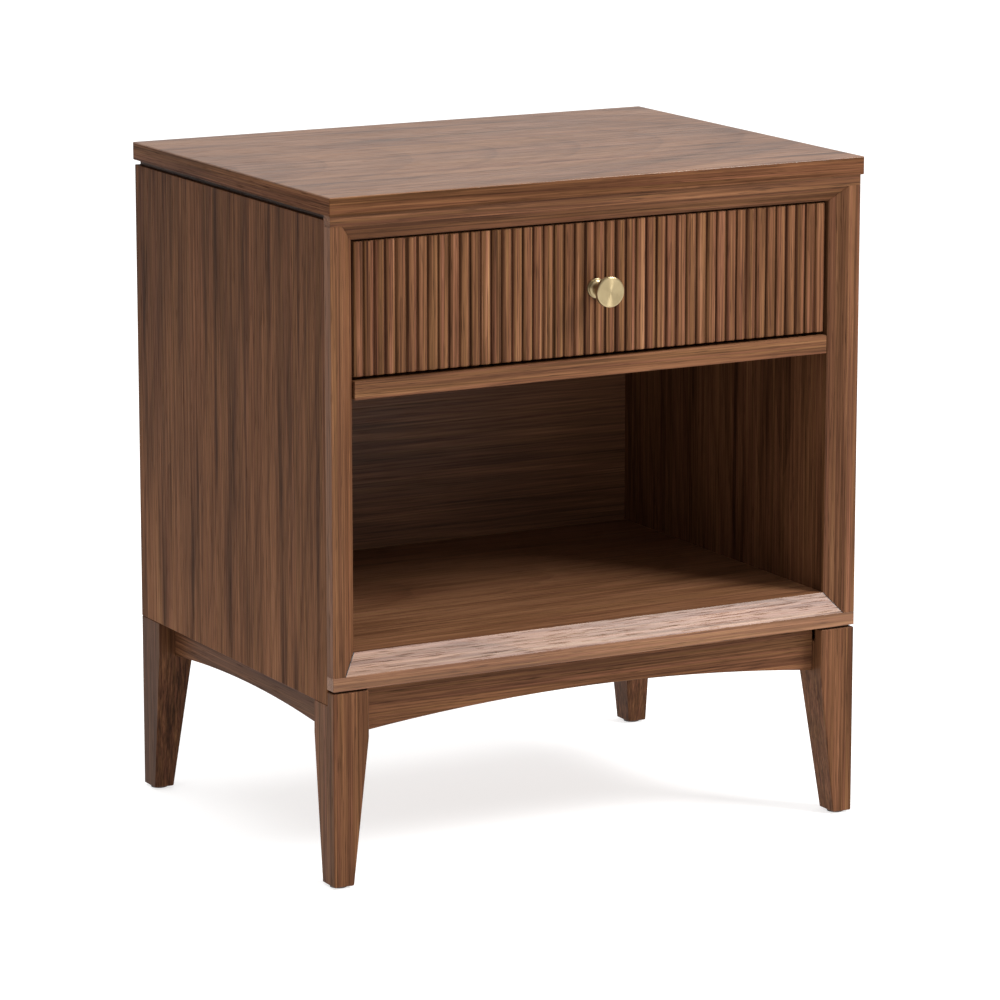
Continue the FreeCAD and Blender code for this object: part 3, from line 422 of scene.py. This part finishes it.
def make_piece(name, points, quads, finish, body, replaced, sharp, marks=None, wrap=None,
               second=None):
    """A closed mesh from arrays: doubled points are merged, edges over sharp degrees stay crisp.

    marks are numbers kept with the points, and wrap is a pair of numbers for each point that
    tells a finish the way round the piece. second is another finish and where it goes, as one
    0 or 1 for each face.
    """
    mesh = bpy.data.meshes.new(name)
    mesh.from_pydata(points.reshape(-1, 3).tolist(), [], quads.tolist())
    if second:
        mesh.polygons.foreach_set("material_index", second[1])
    for key, numbers in (marks or {}).items():
        mesh.attributes.new(key, "FLOAT", "POINT").data.foreach_set("value", numbers.ravel())
    if wrap is not None:
        layer = mesh.uv_layers.new(name="round")
        layer.data.foreach_set("uv", wrap.reshape(-1, 2)[quads.ravel()].ravel())
    shape = bmesh.new()
    shape.from_mesh(mesh)
    bmesh.ops.remove_doubles(shape, verts=shape.verts, dist=1e-7)
    shape.to_mesh(mesh)
    shape.free()
    piece = bpy.data.objects.new(name, mesh)
    bpy.context.collection.objects.link(piece)
    mesh.materials.append(finish)
    if second:
        mesh.materials.append(second[0])
    mesh.shade_smooth()
    mesh.set_sharp_from_angle(angle=math.radians(sharp))
    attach(piece, body)
    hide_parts(*replaced)
    return piece


def top_board(polished, oiled):
    """The top board: a closed box whose edges turn over a small quarter round.

    The outline is carried up the board's edge as a ring. At each height the ring is drawn in by
    a margin, which follows a quarter circle at the bottom and at the top; its corners are arcs
    of what is left of the rounding. A ring a little further in keeps the wide faces flat, and
    one quad closes each of them. The polished finish is on the upper face and the round below
    it, the oiled one on the rest.
    """
    low, high = (np.array(corner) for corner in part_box("top_panel"))
    ease = 0.9 * MM
    inner = ease + 0.4 * MM
    turn = np.linspace(0, math.pi / 2, 5)
    lower = ease * (1 - np.cos(turn))
    margin = ease * (1 - np.sin(turn))
    margin = np.concatenate([[inner], margin, margin[::-1], [inner]])[:, None]
    height = np.concatenate([[low[2]], low[2] + lower, high[2] - lower[::-1], [high[2]]])[:, None]
    angle = (turn + np.arange(4)[:, None] * math.pi / 2).ravel()
    sign_x = np.repeat([1, -1, -1, 1], len(turn))
    sign_y = np.repeat([1, 1, -1, -1], len(turn))
    left = np.maximum(ease - margin, 0)
    drawn = np.maximum(ease, margin)
    half = (high - low) / 2
    middle = (high + low) / 2
    x = middle[0] + sign_x * (half[0] - drawn) + left * np.cos(angle)
    y = middle[1] + sign_y * (half[1] - drawn) + left * np.sin(angle)
    points = np.stack([x, y, np.broadcast_to(height, x.shape)], axis=-1)
    points = np.concatenate([points, points[:, :1]], axis=1)
    rows, columns = points.shape[:2]
    corners = np.arange(4) * len(turn)
    caps = np.stack([corners[::-1], (rows - 1) * columns + corners])
    quads = np.concatenate([grid_quads(rows, columns), caps])
    below = np.repeat(np.arange(rows - 1) < rows - 1 - len(turn), columns - 1)
    pick = np.concatenate([below.astype(int), [1, 0]])
    return make_piece("eased_top_board", points, quads, polished, "case", ["top_panel"],
                      30.0, second=(oiled, pick))


def reed_front(finish):
    """The drawer front: a board whose face is a row of crowned reeds.

    The face is a height over (across, up). Across one reed, from t = -1 to 1, it falls away
    from the middle as t squared, then faster over a rounded shoulder and down the groove's
    wall. Near the top and bottom it falls as a quarter circle, so that every reed has an eased
    end. A flat back and a rim of quads between the two close the board.
    """
    low, high = (np.array(corner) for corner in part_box("drawer_front"))
    count = 46
    groove, wall = 1.6 * MM, 0.12 * MM
    tall, lip = 2.8 * MM, 0.3 * MM
    crown, shoulder, shoulder_from = 1.3 * MM, 0.9 * MM, 0.7
    ease = 1.3 * MM
    pitch = (high[0] - low[0]) / count
    half = (pitch - groove) / 2
    side = np.array([0.25, 0.5, 0.72, 0.86, 0.94, 0.985, 1.0])
    t = np.concatenate([-side[::-1], [0.0], side])
    past = np.clip((np.abs(t) - shoulder_from) / (1 - shoulder_from), 0, 1)
    drop = crown * t**2 + shoulder * past**2.5
    profile_x = np.concatenate([[-pitch / 2, -half - wall], half * t, [half + wall]])
    profile_y = np.concatenate([[tall, tall], drop, [tall]])
    centres = low[0] + pitch * (np.arange(count) + 0.5)
    x = np.concatenate([(centres[:, None] + profile_x).ravel(), [high[0]]])
    y = np.concatenate([np.tile(profile_y, count), [tall]])
    turn = np.linspace(0, math.pi / 2, 5)
    rise = ease * (1 - np.cos(turn))
    up = np.concatenate([low[2] + rise, high[2] - rise[::-1]])[:, None]
    fall = ease * (1 - np.sin(turn))
    fall = np.concatenate([fall, fall[::-1]])[:, None]
    face_y = low[1] + np.minimum(y + fall, tall + lip)
    face = np.stack(np.broadcast_arrays(x, face_y, up), -1)
    back = face.copy()
    back[..., 1] = high[1]
    rows, columns = face.shape[:2]
    points = np.concatenate([face.reshape(-1, 3), back.reshape(-1, 3)])
    behind = rows * columns
    numbers = np.arange(behind).reshape(rows, columns)
    rim = np.concatenate([numbers[0], numbers[1:, -1], numbers[-1, -2::-1], numbers[-2:0:-1, 0]])
    after = np.roll(rim, -1)
    walls = np.stack([rim, rim + behind, after + behind, after], axis=-1)
    quads = np.concatenate([grid_quads(rows, columns), grid_quads(rows, columns, behind, True), walls])
    each = np.random.default_rng(46).uniform(-1, 1, count)
    own = np.concatenate([np.repeat(each, len(profile_x)), each[-1:]])
    strip = np.tile(np.broadcast_to(own, (rows, columns)), (2, 1))
    # How deep each point of the face lies in its groove, 0 at the crown to 1 at the root, kept for the
    # painted shade in the grooves.
    painted_groove_shade = np.zeros((2 * rows, columns))
    painted_groove_shade[:rows] = np.clip(y / tall, 0, 1) ** 1.5
    return make_piece("reeded_drawer_front", points, quads, finish, "drawer", ["drawer_front"],
                      35.0, {"reed": strip, "painted_groove_shade": painted_groove_shade})


def reed_walnut(name):
    """Walnut slats laid side by side: each reed is its own strip with its own tone, and painted shade
    darkens it down into its grooves.
    """
    finish = Finish(name)
    strip = finish.add("Attribute", attribute_name="reed").outputs["Fac"]
    painted_groove_shade = finish.add("Attribute", attribute_name="painted_groove_shade").outputs["Fac"]
    shift = finish.together(*(finish.sum("MULTIPLY", strip, stretch) for stretch in (2.3, 0.6, 0.9)))
    wood = finish.move("ADD", along_grain(finish, "z", (0.0, 0.0, 0.0)), shift)
    place = finish.move("ADD", wood, (1.3, 0.4, 2.2))
    own_tone = finish.sum("MULTIPLY", strip, 0.035)
    # Painted shade: each reed's own tone, less a darkening that grows down into the grooves.
    shade = finish.sum("SUBTRACT", own_tone, finish.sum("MULTIPLY", painted_groove_shade, 0.20))
    lively = dict(RIFT_SAWN, streak=0.62, fibre=1.00, smoke=0.05, tint=3.4)
    return finish_walnut(finish, wood, place, 0.55, lively, (0.46, 0.06), shade)


def turned_knob(finish):
    """The knob: a profile of radius against height, carried round the knob's own axis.

    From the drawer outwards: a small flange, a hollow cove into the neck, a cone that flares
    to the head, a bevelled rim and a shallow dish on the face. The profile is in mm.
    """
    low, high = (np.array(corner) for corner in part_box("knob"))
    centre = (low + high) / 2
    out = (high[1] - low[1]) / MM
    radius = (high[0] - low[0]) / 2 / MM
    base, lip, soft = 9.2, 2.4, 0.5
    neck, flare = 5.4, 3.2
    rim, cone, bevel, dish = 4.6, 2.6, 0.9, 0.18
    steps = 96
    turn = np.linspace(0, math.pi / 2, 7)
    foot = [(0.0, 0.0), (base - 0.25, 0.0), (base, 0.25), (base, lip - soft)]
    edge = np.column_stack([base - soft + soft * np.cos(turn), lip - soft + soft * np.sin(turn)])
    hollow = base - soft - neck - 0.6
    cove = np.column_stack([neck + hollow * (1 - np.sin(turn)), lip + flare * (1 - np.cos(turn))])
    under = out - rim
    head = [
        (neck, under - cone - 0.4), (neck + 0.5, under - cone + 0.1),
        (radius - 1.2, under - 0.25), (radius - 0.3, under + 0.05), (radius, under + 0.5),
        (radius, out - bevel), (radius - bevel * 0.25, out - bevel * 0.45),
        (radius - bevel * 0.95, out - bevel * 0.03), (radius - bevel * 1.25, out),
    ]
    inwards = np.linspace(1, 0, 12)[1:]
    sink = np.sin(np.linspace(0.15, 1, 12)[1:] * math.pi / 2)
    face = np.column_stack([(radius - bevel * 1.25) * inwards, out - dish * sink])
    radii, heights = np.concatenate([foot, edge, cove, head, face]).T * MM
    radii[0] = radii[-1] = 0.0
    angle = np.linspace(0, 2 * math.pi, steps + 1)
    x = centre[0] + radii[:, None] * np.cos(angle)
    y = high[1] - heights[:, None] + 0 * angle
    z = centre[2] + radii[:, None] * np.sin(angle)
    points = np.stack([x, y, z], axis=-1)
    rows, columns = points.shape[:2]
    run = np.concatenate([[0.0], np.cumsum(np.hypot(np.diff(radii), np.diff(heights)))])
    wrap = np.stack(np.broadcast_arrays(angle / (2 * math.pi), run[:, None] / run[-1]), axis=-1)
    return make_piece("turned_brass_knob", points, grid_quads(rows, columns), finish, "drawer",
                      ["knob"], 28.0, wrap=wrap)


# ---------------------------------------------------------------- put together

def dress(material, *names):
    """Give a finish to pieces of the model."""
    for name in names:
        mesh = NODES[name].data
        mesh.materials.clear()
        mesh.materials.append(material)


def dress_case():
    """Top, sides, frame, shelf and the boards inside the case."""
    side_gloss = (0.46, 0.020)
    frame_gloss = (0.42, 0.08)
    top_cut = dict(PLAIN_SAWN, figure=0.14, lean=0.10, streak=0.46, smoke=0.30)
    top = walnut("walnut_top_board", "x", 11, 0.62, top_cut, (0.30, 0.43))
    top_edge = walnut("walnut_top_edge", "x", 12, 0.45, RIFT_SAWN, side_gloss, end_strips=True)
    top_board(top, top_edge)
    # The side panels are painted lighter towards the bottom: painted light for the floor's bounce and
    # reflection.
    left = dict(PLAIN_SAWN, heart=(40.0, -190.0), lean=0.16, painted_lift=-0.40, smoke=0.30, streak=0.24,
                bands=0.18)
    right = dict(PLAIN_SAWN, heart=(-60.0, 180.0), lean=-0.14, painted_lift=-0.24, smoke=0.30, streak=0.28)
    dress(walnut("walnut_left_side", "z", 21, 0.44, left, side_gloss), "side_panel_left")
    dress(walnut("walnut_right_side", "z", 22, 0.44, right, side_gloss), "side_panel_right")
    for side, seed, tone in (("left", 31, 0.51), ("right", 32, 0.54)):
        stile = walnut(f"walnut_{side}_stile", "z", seed, tone, RIFT_SAWN, frame_gloss)
        dress(stile, f"frame_stile_{side}")
    dress(walnut("walnut_top_rail", "x", 41, 0.48, RIFT_SAWN, frame_gloss), "frame_top_rail")
    dress(walnut("walnut_lipping", "x", 43, 0.57, RIFT_SAWN, frame_gloss), "divider_lipping")
    low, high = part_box("frame_bottom_rail")
    stile_flat, rail_flat, stile_wide = 12.0 * MM, 12.5 * MM, 27.0 * MM
    mitre = (high[0] - stile_flat, low[2] + rail_flat), (high[0] - stile_wide, high[2])
    bottom = walnut("walnut_bottom_rail", "x", 42, 0.62, RIFT_SAWN, (0.36, 0.27), joint=mitre)
    dress(bottom, "frame_bottom_rail")
    dress(walnut("walnut_shelf", "x", 51, 0.65, PLAIN_SAWN, (0.40, 0.26)), "shelf_panel")
    dress(walnut("walnut_divider", "x", 52, 0.50, PLAIN_SAWN), "divider_panel")
    quiet = dict(PLAIN_SAWN, heart=(90.0, 400.0), bands=0.30, smoke=0.08, pores=0.15)
    dress(walnut("walnut_back", "x", 53, 0.53, quiet, (0.46, 0.25)), "back_panel")


def dress_base():
    """Legs with upright grain, aprons with level grain; the back pair of legs is painted a darker tone,
    painted shade for where they stand under the case.
    """
    gloss = (0.44, 0.06)
    # The back legs' lower tone is painted shade.
    for row, (end, tone) in enumerate(zip(ENDS, (0.49, 0.38))):
        for column, side in enumerate(SIDES):
            seed = 61 + 2 * row + column
            leg = walnut(f"walnut_{end}_{side}_leg", "z", seed, tone, RIFT_SAWN, gloss)
            dress(leg, f"leg_{end}_{side}")
        apron = walnut(f"walnut_{end}_apron", "x", 71 + row, 0.50, RIFT_SAWN, gloss)
        dress(apron, f"apron_{end}")
    for seed, side in enumerate(SIDES, 73):
        dress(walnut(f"walnut_{side}_apron", "y", seed, 0.44, RIFT_SAWN, gloss), f"apron_{side}")


def dress_hidden():
    """Secondary woods, slides, screws and glides."""
    poplar = (0.42, 0.30, 0.17), (0.24, 0.155, 0.080)
    birch = (0.56, 0.42, 0.26), (0.40, 0.27, 0.15)
    beech = (0.50, 0.36, 0.22), (0.36, 0.23, 0.12)
    dress(pale_wood("poplar_rails", "x", 81, *poplar), "top_stretcher_front", "top_stretcher_back")
    cleats = pale_wood("poplar_cleats", "y", 82, *poplar)
    dress(cleats, *(f"shelf_cleat_{side}" for side in SIDES))
    dress(cleats, *(f"corner_block_{end}_{side}" for end in ENDS for side in SIDES))
    # The reveal strips and leg spacers are given a very dark walnut tone.
    very_dark_strip_finish = walnut("very_dark_strips", "y", 83, 0.16, RIFT_SAWN)
    dress(very_dark_strip_finish, *(f"{strip}_{side}" for strip in ("reveal_strip", "leg_spacer") for side in SIDES))
    dress(pale_wood("birch_box_ends", "x", 84, *birch), "drawer_box_front", "drawer_box_back")
    dress(pale_wood("birch_box_sides", "y", 85, *birch), "drawer_side_left", "drawer_side_right")
    dress(pale_wood("birch_bottom", "x", 86, *birch), "drawer_bottom")
    dress(pale_wood("beech_dowels", "x", 87, *beech), "wood_dowels")
    steel = zinc("zinc_slides", (0.62, 0.63, 0.64))
    for side in SIDES:
        dress(steel, *(f"slide_{member}_{side}" for member in ("outer", "middle", "inner")))
        dress(steel, *(f"ball_cage_{row}_{side}" for row in ("outer", "inner")))
    bright = zinc("polished_balls", (0.80, 0.80, 0.80), 0.14)
    dress(bright, *(f"slide_balls_{row}_{side}" for row in ("outer", "inner") for side in SIDES))
    yellow = zinc("zinc_screws", (0.66, 0.60, 0.46))
    dress(yellow, "top_fixing_screws", "base_fixing_screws", "slide_case_screws", "slide_drawer_screws",
          "drawer_front_screws", "knob_screw")
    dress(nylon("nylon_glides"), "foot_glides")


def add_floor():
    """A plain pale floor, wide enough to fill every view."""
    finish = Finish("pale_floor")
    finish.coat(Base_Color=(0.52, 0.52, 0.52, 1.0), Roughness=0.9, Specular_IOR_Level=0.1,
                Emission_Color=(1.0, 1.0, 1.0, 1.0), Emission_Strength=0.70)
    half = 60.0
    corners = [(-half, -half, 0), (half, -half, 0), (half, half, 0), (-half, half, 0)]
    mesh = bpy.data.meshes.new("floor")
    mesh.from_pydata(corners, [], [(0, 1, 2, 3)])
    mesh.materials.append(finish.material)
    floor = bpy.data.objects.new("floor", mesh)
    bpy.context.collection.objects.link(floor)


def add_light():
    """Even white surroundings, a soft overhead light and a softbox to the right of the front."""
    world = bpy.data.worlds.new("studio")
    bpy.context.scene.world = world
    world.use_nodes = True
    sky = world.node_tree.nodes["Background"]
    sky.inputs["Color"].default_value = (1.0, 1.0, 1.0, 1.0)
    sky.inputs["Strength"].default_value = 0.56
    softbox = bpy.data.lights.new("key", "AREA")
    softbox.shape = "SQUARE"
    softbox.size = 1.0
    softbox.energy = 100.0
    key = bpy.data.objects.new("key", softbox)
    aim, distance = Vector((0.0, 0.0, 0.3)), 3.2
    way = Vector((0.52, -0.58, 0.62)).normalized()
    key.location = aim + way * distance
    key.rotation_euler = way.to_track_quat("Z", "Y").to_euler()
    bpy.context.collection.objects.link(key)
    ceiling = bpy.data.lights.new("overhead", "SUN")
    ceiling.energy = 1.5
    ceiling.angle = math.radians(60)
    overhead = bpy.data.objects.new("overhead", ceiling)
    bpy.context.collection.objects.link(overhead)
    bpy.context.scene.view_settings.view_transform = "Standard"


def add_camera():
    """A long lens from the front left, a little above the object."""
    azimuth, elevation = math.radians(-28.586), math.radians(11.98)
    aim, distance = Vector((0.0019, -0.0010, 0.2972)), 4.6137
    back = Vector((
        math.sin(azimuth) * math.cos(elevation),
        -math.cos(azimuth) * math.cos(elevation),
        math.sin(elevation),
    ))
    camera = bpy.data.cameras.new("camera")
    camera.lens = 173.4
    camera.sensor_width = 36.0
    camera.clip_end = 100.0
    stand = bpy.data.objects.new("camera", camera)
    stand.location = aim + back * distance
    stand.rotation_euler = (-back).to_track_quat("-Z", "Y").to_euler()
    bpy.context.collection.objects.link(stand)
    bpy.context.scene.camera = stand


add_camera()
add_light()
add_floor()
dress_case()
dress_base()
dress_hidden()
reed_front(reed_walnut("walnut_reeds"))
turned_knob(brass("satin_brass"))
